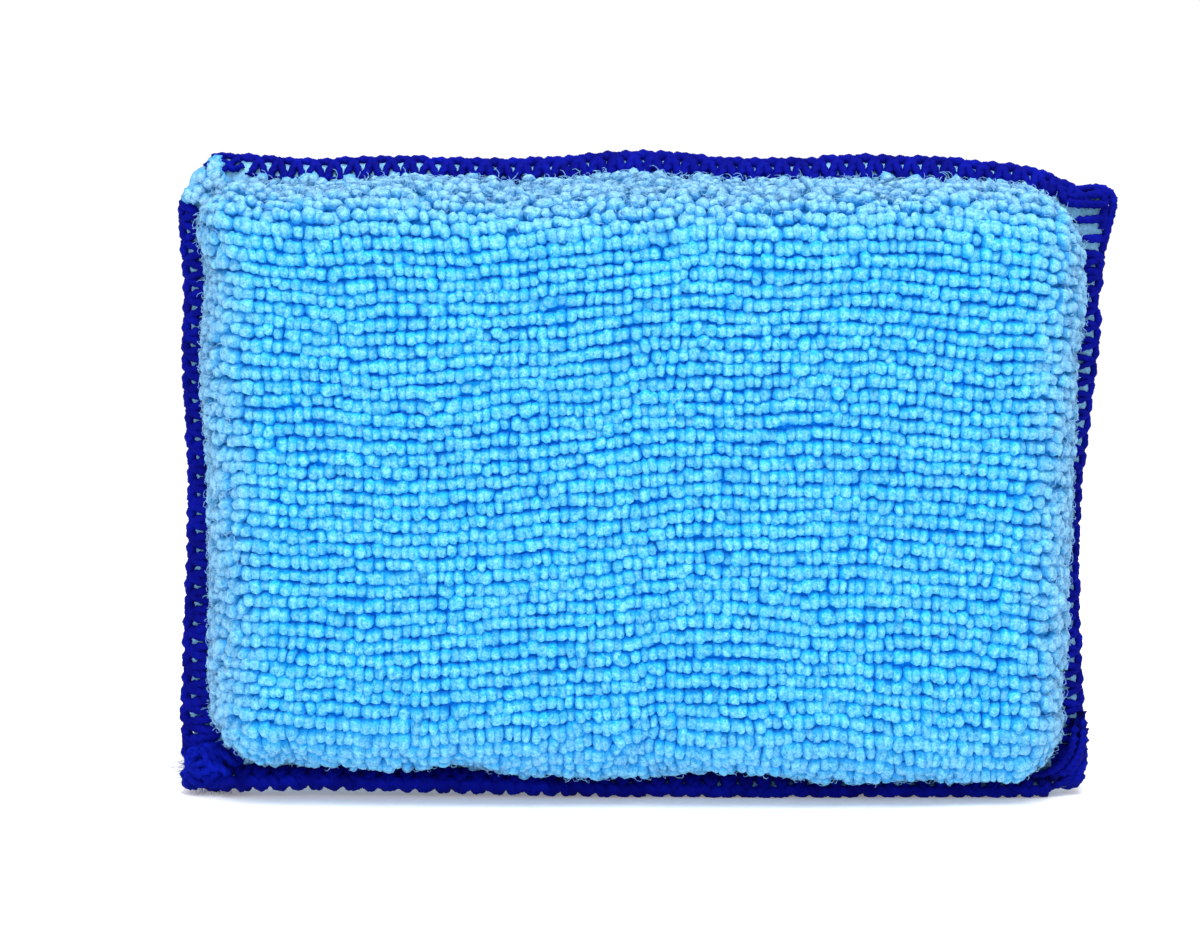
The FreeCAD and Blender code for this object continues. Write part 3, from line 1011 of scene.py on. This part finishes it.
ear_strands = [
    [(86.9, -2.0, 1.1), (87.2, 0.0, 1.3), (87.4, 1.6, 1.2), (87.2, 2.4, 0.6),
     (86.8, 2.5, -0.4), (86.4, 1.5, -1.1), (86.0, -0.5, -1.1)],
    [(86.2, -2.2, 1.1), (86.0, -0.6, 1.3), (85.7, 0.8, 1.2), (85.4, 2.2, 1.0)],
    [(83.4, -1.6, 1.1), (83.3, 0.4, 1.3), (83.3, 1.8, 1.1), (83.2, 2.4, 0.4),
     (83.0, 2.2, -0.6), (82.7, 0.8, -1.1), (82.4, -0.8, -1.1)],
    [(80.8, -1.4, 1.1), (80.4, 0.2, 1.3), (80.2, 1.8, 1.1), (80.1, 2.4, 0.4),
     (79.9, 2.2, -0.6), (79.6, 0.8, -1.1), (79.3, -0.8, -1.1)],
]
ridges = [
    [(87.6, -3.4, 0.5), (88.3, -1.6, 0.6), (88.9, 0.4, 0.6), (88.5, 2.2, 0.6), (87.0, 2.9, 0.5),
     (85.2, 2.9, 0.5), (83.0, 2.6, 0.5), (80.5, 2.6, 0.5), (78.0, 2.6, 0.4), (76.0, 2.5, 0.2)],
    [(87.9, 1.2, 0.9), (87.2, 2.1, 0.9), (85.4, 2.2, 0.8), (83.4, 2.0, 0.8), (81.6, 2.1, 0.7)],
]
runs = [strand("right", points, 1.08) for points in ear_strands]
runs += [strand("right", points, 1.05) for points in ridges]
seam_pieces["top_right_tail"] = spin_yarn("top_right_tail", runs, yarn_section)

start_loops = [
    [(-60.2, 0.6, 0.9), (-59.3, 1.5, 1.0), (-58.3, 2.1, 0.8), (-57.2, 1.3, 1.0), (-56.3, 0.0, 1.1),
     (-55.2, 1.4, 0.9)],
    [(-59.4, 2.2, 0.5), (-58.6, 2.6, 0.5), (-57.4, 2.7, 0.4), (-55.6, 2.6, 0.5), (-53.8, 2.5, 0.4)],
    [(-58.6, -0.6, 1.0), (-57.6, 0.4, 1.1), (-56.8, 1.5, 1.0), (-55.8, 2.3, 0.6)],
]
runs = [strand("top", points, 0.85) for points in start_loops]
seam_pieces["top_left_tail"] = spin_yarn("top_left_tail", runs, yarn_section)

for profile in (yarn_section, needle_section, fibre_section):
    bpy.data.objects.remove(profile)

# %% [markdown]
# ## The foam
#
# Inside is one block of soft open-celled foam, cut a little full, with its edges pressed round by
# the cover. It is hidden, but it is what the pad is, so it is there.

# %% Shape the block
foam_gap = 0.6 * MM
foam_round = 5.5 * MM
bm = bmesh.new()
bmesh.ops.create_cube(bm, size=1)
foam_size = foam_high - foam_low
bmesh.ops.scale(bm, vec=foam_size - Vector((1, 1, 1)) * foam_gap, verts=bm.verts)
bmesh.ops.bevel(bm, geom=bm.edges, offset=foam_round, segments=6, profile=0.5, affect="EDGES", material=-1)
bmesh.ops.translate(bm, vec=(foam_low + foam_high) / 2, verts=bm.verts)
foam = new_object("foam_block", bm)
foam.data.shade_smooth()
put_vertices(foam.data, stray(vertex_places(foam.data)))
print("foam block", [round(v / MM, 1) for v in foam.dimensions])

# %% [markdown]
# ## Finishes
#
# Three stuffs make the pad: light-blue split-fibre terry, royal-blue textured yarn, and white
# open-celled foam. The terry has two finishes, one for its loops and one for the cloth under them,
# and the yarn two, one for the seam and a brighter one for the loose lump at the lower left.
# Cloth and yarn are both made of fine fibres, so they share one node group that turns a fine
# grain into a soft bump. It reads places on the piece itself, so it looks alike from every side.

# %% A fibre grain shared by the cloth and the yarn
def feed(links, socket, given):
    """Gives a socket a plain value, or joins it to another socket."""
    if isinstance(given, bpy.types.NodeSocket):
        links.new(given, socket)
    else:
        socket.default_value = given


def calculate(nodes, links, kind, *given, clamp=False):
    """A Math node, fed by sockets or numbers; gives back its result."""
    node = nodes.new("ShaderNodeMath")
    node.operation = kind
    node.use_clamp = clamp
    for socket, value in zip(node.inputs, given):
        feed(links, socket, value)
    return node.outputs[0]


def fibre_group():
    """Two sizes of grain: a colour factor about 1, and a height for a bump."""
    group = bpy.data.node_groups.new("fibre_grain", "ShaderNodeTree")
    face = group.interface
    for label, value in (("Fine", 4200.0), ("Coarse", 900.0), ("Spread", 0.3)):
        socket = face.new_socket(label, in_out="INPUT", socket_type="NodeSocketFloat")
        socket.default_value = value
    for label in ("Factor", "Height"):
        face.new_socket(label, in_out="OUTPUT", socket_type="NodeSocketFloat")
    nodes, links = group.nodes, group.links
    given, result = nodes.new("NodeGroupInput"), nodes.new("NodeGroupOutput")
    place = nodes.new("ShaderNodeTexCoord")
    grains = []
    for label, detail in (("Fine", 3.0), ("Coarse", 2.0)):
        grain = nodes.new("ShaderNodeTexNoise")
        grain.inputs["Detail"].default_value = detail
        links.new(place.outputs["Object"], grain.inputs["Vector"])
        links.new(given.outputs[label], grain.inputs["Scale"])
        grains.append(grain.outputs["Fac"])
    height = calculate(nodes, links, "ADD", *grains)
    links.new(height, result.inputs["Height"])
    centred = calculate(nodes, links, "SUBTRACT", height, 1.0)
    factor = calculate(nodes, links, "MULTIPLY_ADD", centred, given.outputs["Spread"], 1.0)
    links.new(factor, result.inputs["Factor"])
    return group


fibre_grain = fibre_group()
print(fibre_grain.name, "has", len(fibre_grain.nodes), "nodes")

# %% [markdown]
# ## Tools for a finish
#
# Every finish is a Principled shader with a few nodes in front of it. A handful of short helpers
# make those nodes, so that a finish reads as what it is made of: a ramp of colours, one colour
# laid over another, a number read from the piece, and the bump of the fibres.

# %% Make the nodes of a finish
def new_material(name):
    """A new finish, with its nodes, its links and its shader."""
    material = bpy.data.materials.new(name)
    material.use_nodes = True
    tree = material.node_tree
    return material, tree.nodes, tree.links, tree.nodes["Principled BSDF"]


def set_sockets(node, **values):
    """Sets a node's sockets by name, with _ for a space."""
    for label, value in values.items():
        node.inputs[label.replace("_", " ")].default_value = value


def attribute(nodes, label):
    """A number that was kept for each vertex."""
    node = nodes.new("ShaderNodeAttribute")
    node.attribute_name = label
    return node.outputs["Fac"]


def ramp(nodes, links, factor, stops):
    """A colour ramp through a few stops, fed by factor."""
    node = nodes.new("ShaderNodeValToRGB")
    elements = node.color_ramp.elements
    while len(elements) < len(stops):
        elements.new(0.5)
    for element, (position, colour) in zip(elements, stops):
        element.position = position
        element.color = (*colour, 1)
    links.new(factor, node.inputs["Fac"])
    return node.outputs["Color"]


def mix(nodes, links, kind, factor, one, other):
    """Mixes two colours; factor may be a socket or a number."""
    node = nodes.new("ShaderNodeMix")
    node.data_type = "RGBA"
    node.blend_type = kind
    # a colour Mix keeps its factor in socket 0, its two colours in 6 and 7, and its result in 2
    for socket, given in ((node.inputs[0], factor), (node.inputs[6], one), (node.inputs[7], other)):
        feed(links, socket, given)
    return node.outputs[2]


def grain_and_bump(nodes, links, surface, fine, coarse, spread, strength, distance):
    """Adds the fibre bump to a surface and gives back its colour factor and its height."""
    grain = nodes.new("ShaderNodeGroup")
    grain.node_tree = fibre_grain
    set_sockets(grain, Fine=fine, Coarse=coarse, Spread=spread)
    bump = nodes.new("ShaderNodeBump")
    set_sockets(bump, Strength=strength, Distance=distance)
    links.new(grain.outputs["Height"], bump.inputs["Height"])
    links.new(bump.outputs["Normal"], surface.inputs["Normal"])
    return grain.outputs["Factor"], grain.outputs["Height"]


print("finishes start from", len(bpy.data.node_groups), "shared group")

# %% [markdown]
# ## Terry
#
# The terry's colour follows how high a point is on its loop: saturated deep between the loops, which is
# painted shade for the light that bounces among them, and paler at the tips, partly worn fibre and partly
# painted highlight. Beside the seam, where the loops are rubbed, it is paler still, and that paleness is a
# painted sheen on the rim of the pad. The grain breaks up that height, so a loop looks like a bundle of
# fibres and not like one smooth bead. Each loop has a shade of its own. Light also passes through thin
# fibres and comes out again deep between the loops, which an opaque shader leaves out, so the lowest part of
# each loop gives off a faint blue.

# %% Make the terry's finish
# painted shade at the foot of each loop, for light bounced between the loops; the paler tip is partly worn
# fibre and partly painted highlight
painted_shade_to_tip_highlight = [
    (0.0, (0.0, 0.34, 0.98)),
    (0.18, (0.001, 0.355, 0.84)),
    (0.60, (0.036, 0.42, 0.765)),
    (1.0, (0.150, 0.475, 0.755)),
]
# painted sheen: the pale colour the terry takes beside the seam
painted_sheen_pale = [(0.1, (0.08, 0.33, 0.62)), (0.9, (0.24, 0.46, 0.68))]
loop_shades = [(0.0, (0.80, 0.86, 0.92)), (1.0, (1.12, 1.10, 1.04))]
deep_glow = [(0.0, (0.0, 0.07, 0.13)), (0.35, (0.0, 0.0, 0.0))]


def terry_finish(name, loops):
    """Split-fibre terry, for the loops or for the cloth under them."""
    material, nodes, links, surface = new_material(name)
    factor, height = grain_and_bump(nodes, links, surface, 3800.0, 1700.0, 0.9, 0.8, 0.00022)
    broken = 0.9 if loops else 0.3
    lowered = calculate(nodes, links, "SUBTRACT", attribute(nodes, "tip"), broken)
    tip = calculate(nodes, links, "MULTIPLY_ADD", height, broken, lowered, clamp=True)
    # painted shade low on each loop, painted highlight at its tip
    colour = ramp(nodes, links, tip, painted_shade_to_tip_highlight)
    if loops:
        own = ramp(nodes, links, attribute(nodes, "shade"), loop_shades)
        colour = mix(nodes, links, "MULTIPLY", 1.0, colour, own)
    pale = ramp(nodes, links, tip, painted_sheen_pale)
    # the mix toward the pale colour beside the seam is a painted sheen
    painted_sheen_mix = calculate(nodes, links, "MULTIPLY", attribute(nodes, "wear_and_sheen"), 0.85)
    colour = mix(nodes, links, "MIX", painted_sheen_mix, colour, pale)
    colour = mix(nodes, links, "MULTIPLY", 1.0, colour, factor)
    links.new(colour, surface.inputs["Base Color"])
    if loops:
        glow = ramp(nodes, links, tip, deep_glow)
        links.new(glow, surface.inputs["Emission Color"])
        set_sockets(surface, Emission_Strength=1.0)
    set_sockets(surface, Roughness=0.85, Specular_IOR_Level=0.08, Sheen_Weight=0.12, Sheen_Roughness=0.35)
    surface.inputs["Sheen Tint"].default_value = (0.75, 0.92, 1.0, 1)
    return material


loops_finish = terry_finish("light_blue_terry_loops", True)
cloth_finish = terry_finish("light_blue_terry_cloth", False)
print("made", loops_finish.name, "and", cloth_finish.name)

# %% [markdown]
# ## Yarn and foam
#
# The yarn is dyed a blue so deep that it shows little more than its own patches of light and dark, which
# come from how loosely it is twisted. They are made with a soft noise, with the fibre grain over it. The
# foam's open cells are a Voronoi pattern, painted dark in the pores as shade and raised on the walls between
# them. Foam is hidden by the cover, so a plain pattern is enough.

# %% Make the yarn's and the foam's finish
def yarn_finish(name, deep, bright):
    """Textured yarn, between a deep and a bright shade."""
    material, nodes, links, surface = new_material(name)
    factor, _ = grain_and_bump(nodes, links, surface, 7000.0, 1500.0, 0.6, 0.45, 0.00008)
    patch = nodes.new("ShaderNodeTexNoise")
    set_sockets(patch, Scale=260.0, Detail=2.0)
    place = nodes.new("ShaderNodeTexCoord")
    links.new(place.outputs["Object"], patch.inputs["Vector"])
    colour = ramp(nodes, links, patch.outputs["Fac"], [(0.35, deep), (0.7, bright)])
    colour = mix(nodes, links, "MULTIPLY", 1.0, colour, factor)
    links.new(colour, surface.inputs["Base Color"])
    set_sockets(surface, Roughness=0.75, Specular_IOR_Level=0.05, Sheen_Weight=0.02, Sheen_Roughness=0.3)
    surface.inputs["Sheen Tint"].default_value = (0.2, 0.3, 1.0, 1)
    return material


def foam_finish(name):
    """Open-celled foam."""
    material, nodes, links, surface = new_material(name)
    cells = nodes.new("ShaderNodeTexVoronoi")
    cells.inputs["Scale"].default_value = 900.0
    place = nodes.new("ShaderNodeTexCoord")
    links.new(place.outputs["Object"], cells.inputs["Vector"])
    # the dark pores are painted shade
    painted_pore_shade_to_wall = [(0.1, (0.30, 0.29, 0.24)), (0.5, (0.86, 0.85, 0.78))]
    colour = ramp(nodes, links, cells.outputs["Distance"], painted_pore_shade_to_wall)
    links.new(colour, surface.inputs["Base Color"])
    bump = nodes.new("ShaderNodeBump")
    set_sockets(bump, Strength=0.6, Distance=0.0005)
    links.new(cells.outputs["Distance"], bump.inputs["Height"])
    links.new(bump.outputs["Normal"], surface.inputs["Normal"])
    set_sockets(surface, Roughness=0.95, Specular_IOR_Level=0.1)
    return material


yarn_blue = yarn_finish("royal_blue_yarn", (0.0004, 0.0020, 0.16), (0.0012, 0.005, 0.27))
tuft_blue = yarn_finish("royal_blue_tuft", (0.0006, 0.0042, 0.22), (0.0014, 0.0100, 0.38))
foam_white = foam_finish("open_cell_foam")
print("made", yarn_blue.name, "and", tuft_blue.name, "and", foam_white.name)

# %% [markdown]
# ## What every piece is
#
# The pad is one soft body, so every piece rides the same body. Each one is dressed in its finish, and the
# imported nodes that it stands for are hidden.

# %% Dress the pieces and hang them on their body
def settle(obj, material, slot_name, *nodes):
    """Dresses a piece in its finish, hangs it on its body and hides the imported nodes it stands for."""
    obj.data.materials.clear()
    obj.data.materials.append(material)
    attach(obj, "root")
    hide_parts(*nodes)


for side_name, panel in panels.items():
    panel.data.shade_smooth()
    settle(panel, cloth_finish, "terry", f"{side_name}_cover")
    for pile in piles[side_name]:
        settle(pile, loops_finish, "terry", f"{side_name}_cover")
settle(foam, foam_white, "foam", "foam_core")
for name, obj in seam_pieces.items():
    corner, part = name.rsplit("_", 1)
    if part in ("tail", "fuzz"):
        loose = tuft_blue if corner == "bottom_left" else yarn_blue
        settle(obj, loose, "seam_thread", f"{corner}_thread_tail")
    else:
        settle(obj, yarn_blue, "seam_thread", f"{name}_thread")
print("dressed", 1 + len(panels) + sum(map(len, piles.values())) + len(seam_pieces), "pieces")

# %% [markdown]
# ## The floor
#
# The pad stands on a pale sweep that curves up behind it, made by spinning the floor's far edge a
# quarter turn. It reaches far out to the sides and toward the viewer, so that its edges aren't
# seen from behind the pad either.

# %% Lay the floor
floor_half = 0.8
floor_stretch = 3
floor_nearer = 1.6
sweep_radius = 0.5
bm = bmesh.new()
bmesh.ops.create_grid(bm, x_segments=1, y_segments=1, size=floor_half)
bmesh.ops.scale(bm, vec=(floor_stretch, 1, 1), verts=bm.verts)
bmesh.ops.translate(bm, vec=(0, -floor_nearer, 0), verts=[v for v in bm.verts if v.co.y < 0])
far_edge = [e for e in bm.edges if all(v.co.y > 0 for v in e.verts)]
hinge = (0, floor_half, sweep_radius)
bmesh.ops.spin(bm, geom=far_edge, cent=hinge, axis=(1, 0, 0), angle=math.pi / 2, steps=24)
bmesh.ops.recalc_face_normals(bm, faces=bm.faces)
floor = new_object("floor", bm)
floor_white, _, _, floor_surface = new_material("pale_floor")
set_sockets(floor_surface, Roughness=0.9, Specular_IOR_Level=0.1)
floor_surface.inputs["Base Color"].default_value = (0.93, 0.93, 0.94, 1)
floor_surface.inputs["Emission Color"].default_value = (1, 1, 1, 1)
floor_surface.inputs["Emission Strength"].default_value = 0.16
floor.data.materials.append(floor_white)
floor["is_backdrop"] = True
print("floor in metres:", [round(v, 2) for v in floor.dimensions])


# %% [markdown]
# ## Light and the white around
#
# Two big soft lights hang above and in front. Past the sweep is plain white, which is a little
# brighter where it is looked at than the light that it gives. A Light Path node tells the two
# apart, so the pad stands alone on white from every side without being washed out by it.

# %% Hang the lights
def soft_light(name, place, size, watts, colour=(1, 1, 1)):
    """A big rectangle of light that faces the pad."""
    lamp = bpy.data.lights.new(name, "AREA")
    lamp.shape = "RECTANGLE"
    lamp.size, lamp.size_y = size
    lamp.energy = watts
    lamp.color = colour
    obj = bpy.data.objects.new(name, lamp)
    scene.collection.objects.link(obj)
    obj.location = place
    obj.rotation_euler = (Vector((0, 0, middle_z)) - Vector(place)).to_track_quat("-Z", "Y").to_euler()


soft_light("overhead", (0.05, -0.20, 0.60), (0.5, 0.35), 4.0)
soft_light("front", (-0.25, -0.9, 0.45), (0.7, 0.5), 3.0)
world = bpy.data.worlds.new("studio")
scene.world = world
world.use_nodes = True
backdrop = world.node_tree.nodes["Background"]
set_sockets(backdrop, Color=(1, 1, 1, 1))
sky_nodes, sky_links = world.node_tree.nodes, world.node_tree.links
ray = sky_nodes.new("ShaderNodeLightPath").outputs["Is Camera Ray"]
given_light, extra_when_seen = 0.75, 0.3
strength = calculate(sky_nodes, sky_links, "MULTIPLY_ADD", ray, extra_when_seen, given_light)
sky_links.new(strength, backdrop.inputs["Strength"])
scene.view_settings.view_transform = "Standard"
print("lights:", [light.name for light in bpy.data.lights])

# %% [markdown]
# ## The viewer
#
# The pad is seen from a forearm's length away and a little above, square on, through a long lens
# that keeps its sides nearly parallel. The viewer aims a little to the left of the middle.

# %% Set the viewer
view_lens = 85
view_reach = 0.395
view_height = math.radians(5)
view_aim = Vector((-6.7, 0, 46)) * MM
eye = bpy.data.cameras.new("camera")
eye.lens = view_lens
camera = bpy.data.objects.new("camera", eye)
scene.collection.objects.link(camera)
camera.location = view_aim + Vector((0, -math.cos(view_height), math.sin(view_height))) * view_reach
camera.rotation_euler = (view_aim - camera.location).to_track_quat("-Z", "Y").to_euler()
scene.camera = camera
print("viewer at, in metres:", [round(v, 3) for v in camera.location])

# %% [markdown]
# ## Size
#
# The finished pieces are measured as they stand, and their box is printed.

# %% Write the sizes and finish
low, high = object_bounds()
print("visual box in mm:", [round(v / MM, 1) for v in (*low, *high)])
